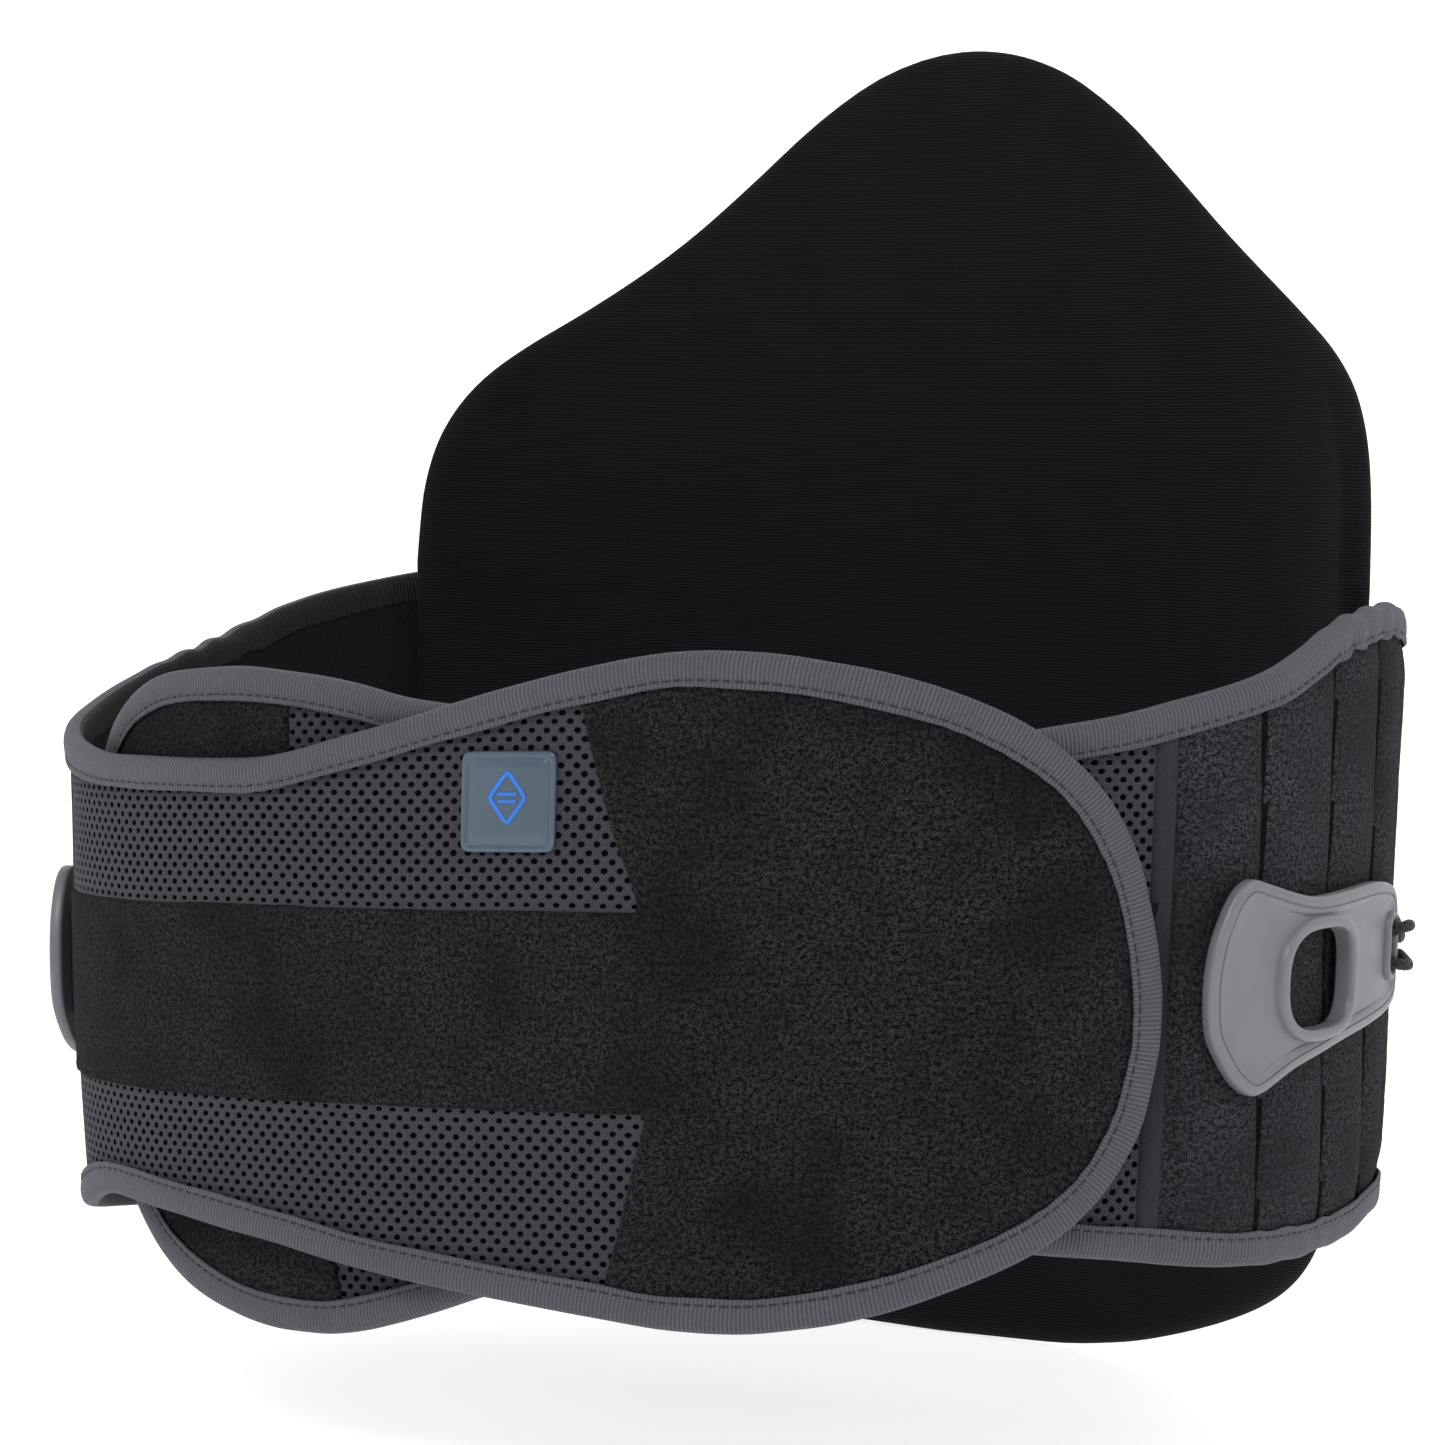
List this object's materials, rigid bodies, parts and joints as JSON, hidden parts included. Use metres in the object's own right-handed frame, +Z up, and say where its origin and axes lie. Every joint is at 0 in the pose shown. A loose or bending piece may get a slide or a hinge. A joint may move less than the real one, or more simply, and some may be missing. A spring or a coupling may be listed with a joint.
{
  "type": "lumbar support belt",
  "caption": "Padded waist belt with lapping hook-and-loop wings, a laced rear closure worked by side pull tabs, and a tall rounded posterior panel for the lower back.",
  "frame": {"origin": "middle of the footprint at the foot of the posterior panel, the lowest point of the part", "axes": "+Z up the spine, -Y toward the wearer's front closure, +X toward the side of the visible pull tab"},
  "size_m": [0.372, 0.2795, 0.3782],
  "materials": {
    "knit": "matte",
    "foam": "matte",
    "shell": "satin",
    "mesh": "matte",
    "loop": "matte",
    "side": "matte",
    "tape": "matte",
    "lining": "matte",
    "plastic": "satin",
    "cord": "matte",
    "hook": "matte",
    "steel": "satin",
    "label": "satin"
  },
  "bodies": {
    "back": {"posterior_cover_front": "knit", "posterior_foam": "foam", "posterior_shell": "shell", "posterior_cover_back": "knit", "left_keeper": "side", "right_keeper": "side", "upper_lacing": "cord", "lower_lacing": "cord"},
    "left_rear": {"left_rear_lining": "lining", "left_rear_panel": "side", "left_rear_binding": "tape", "left_pulley_plate": "shell", "left_axle_1": "steel", "left_axle_2": "steel", "left_axle_3": "steel", "left_cord_run": "cord"},
    "left_wing": {"left_wing_lining": "lining", "left_wing_mesh": "mesh", "left_centre_band": "loop", "left_end_patch": "loop", "left_side_panel": "side", "left_wing_binding": "tape", "closure_hook_pad": "hook", "label_patch": "label"},
    "left_cord": {"left_cord_loop": "cord"},
    "left_tab": {"left_pull_tab": "plastic", "left_tab_hook_pad": "hook"},
    "left_pulley_1": {"left_pulley_1": "plastic"},
    "left_pulley_2": {"left_pulley_2": "plastic"},
    "left_pulley_3": {"left_pulley_3": "plastic"},
    "right_rear": {"right_rear_lining": "lining", "right_rear_panel": "side", "right_rear_binding": "tape", "right_pulley_plate": "shell", "right_axle_1": "steel", "right_axle_2": "steel", "right_axle_3": "steel", "right_cord_run": "cord"},
    "right_wing": {"right_wing_lining": "lining", "right_wing_mesh": "mesh", "right_centre_band": "loop", "right_end_patch": "loop", "right_side_panel": "side", "right_wing_binding": "tape"},
    "right_cord": {"right_cord_loop": "cord"},
    "right_tab": {"right_pull_tab": "plastic", "right_tab_hook_pad": "hook"},
    "right_pulley_1": {"right_pulley_1": "plastic"},
    "right_pulley_2": {"right_pulley_2": "plastic"},
    "right_pulley_3": {"right_pulley_3": "plastic"}
  },
  "joints": [
    {"name": "right_rear_slide", "type": "slide", "parent": "back", "child": "right_rear", "axis": [-1, 0, 0], "range_m": [0, 0.0015], "deforming": ["upper_lacing", "lower_lacing", "right_cord_run"]},
    {"name": "left_rear_slide", "type": "slide", "parent": "back", "child": "left_rear", "axis": [1, 0, 0], "range_m": [0, 0.0015], "deforming": ["left_cord_run"]},
    {"name": "left_wing_open", "type": "hinge", "parent": "left_rear", "child": "left_wing", "pos_m": [-0.17372, 0.03815, 0.11586], "axis": [0.0513, 0, -0.9987], "range_deg": [0, 80]},
    {"name": "left_cord_pull", "type": "slide", "parent": "left_wing", "child": "left_cord", "axis": [-0.1565, -0.9877, 0], "range_m": [0, 0.012], "deforming": ["left_cord_loop"]},
    {"name": "left_tab_peel", "type": "hinge", "parent": "left_cord", "child": "left_tab", "pos_m": [-0.17507, 0.02365, 0.11271], "axis": [0.0513, 0, -0.9987], "range_deg": [0, 40]},
    {"name": "right_wing_open", "type": "hinge", "parent": "right_rear", "child": "right_wing", "pos_m": [0.17375, 0.03815, 0.13334], "axis": [0.0188, 0, 0.9998], "range_deg": [0, 48]},
    {"name": "right_cord_pull", "type": "slide", "parent": "right_wing", "child": "right_cord", "axis": [0.1565, -0.9877, 0], "range_m": [0, 0.012], "deforming": ["right_cord_loop"]},
    {"name": "right_tab_peel", "type": "hinge", "parent": "right_cord", "child": "right_tab", "pos_m": [0.17523, 0.02365, 0.13049], "axis": [0.0188, 0, 0.9998], "range_deg": [0, 40]},
    {"name": "left_pulley_1_spin", "type": "hinge", "parent": "left_rear", "child": "left_pulley_1", "pos_m": [-0.05368, 0.13058, 0.09091], "axis": [-0.1667, 0.986, 0], "range_deg": [-59.3, 0]},
    {"name": "left_pulley_2_spin", "type": "hinge", "parent": "left_rear", "child": "left_pulley_2", "pos_m": [-0.05424, 0.13058, 0.13691], "axis": [-0.1667, 0.986, 0], "range_deg": [0, 30.6]},
    {"name": "left_pulley_3_spin", "type": "hinge", "parent": "left_rear", "child": "left_pulley_3", "pos_m": [-0.05454, 0.13058, 0.16091], "axis": [-0.1667, 0.986, 0], "range_deg": [0, 87.9]},
    {"name": "right_pulley_1_spin", "type": "hinge", "parent": "right_rear", "child": "right_pulley_1", "pos_m": [0.05221, 0.13058, 0.08429], "axis": [0.1667, 0.986, 0], "range_deg": [0, 87.9]},
    {"name": "right_pulley_2_spin", "type": "hinge", "parent": "right_rear", "child": "right_pulley_2", "pos_m": [0.05244, 0.13058, 0.10829], "axis": [0.1667, 0.986, 0], "range_deg": [0, 30.6]},
    {"name": "right_pulley_3_spin", "type": "hinge", "parent": "right_rear", "child": "right_pulley_3", "pos_m": [0.05286, 0.13058, 0.15429], "axis": [0.1667, 0.986, 0], "range_deg": [-59.3, 0]}
  ],
  "couplings": [
    {"joint": "left_rear_slide", "follows": "right_rear_slide", "ratio": 1},
    {"joint": "left_cord_pull", "follows": "right_rear_slide", "ratio": 8},
    {"joint": "right_cord_pull", "follows": "right_rear_slide", "ratio": 8},
    {"joint": "right_wing_open", "follows": "left_wing_open", "ratio": 0.6},
    {"joint": "left_pulley_1_spin", "follows": "right_rear_slide", "rad_per_m": -666.67},
    {"joint": "left_pulley_2_spin", "follows": "right_rear_slide", "rad_per_m": 333.33},
    {"joint": "left_pulley_3_spin", "follows": "right_rear_slide", "rad_per_m": 1000},
    {"joint": "right_pulley_1_spin", "follows": "right_rear_slide", "rad_per_m": 1000},
    {"joint": "right_pulley_2_spin", "follows": "right_rear_slide", "rad_per_m": 333.33},
    {"joint": "right_pulley_3_spin", "follows": "right_rear_slide", "rad_per_m": -666.67}
  ]
}
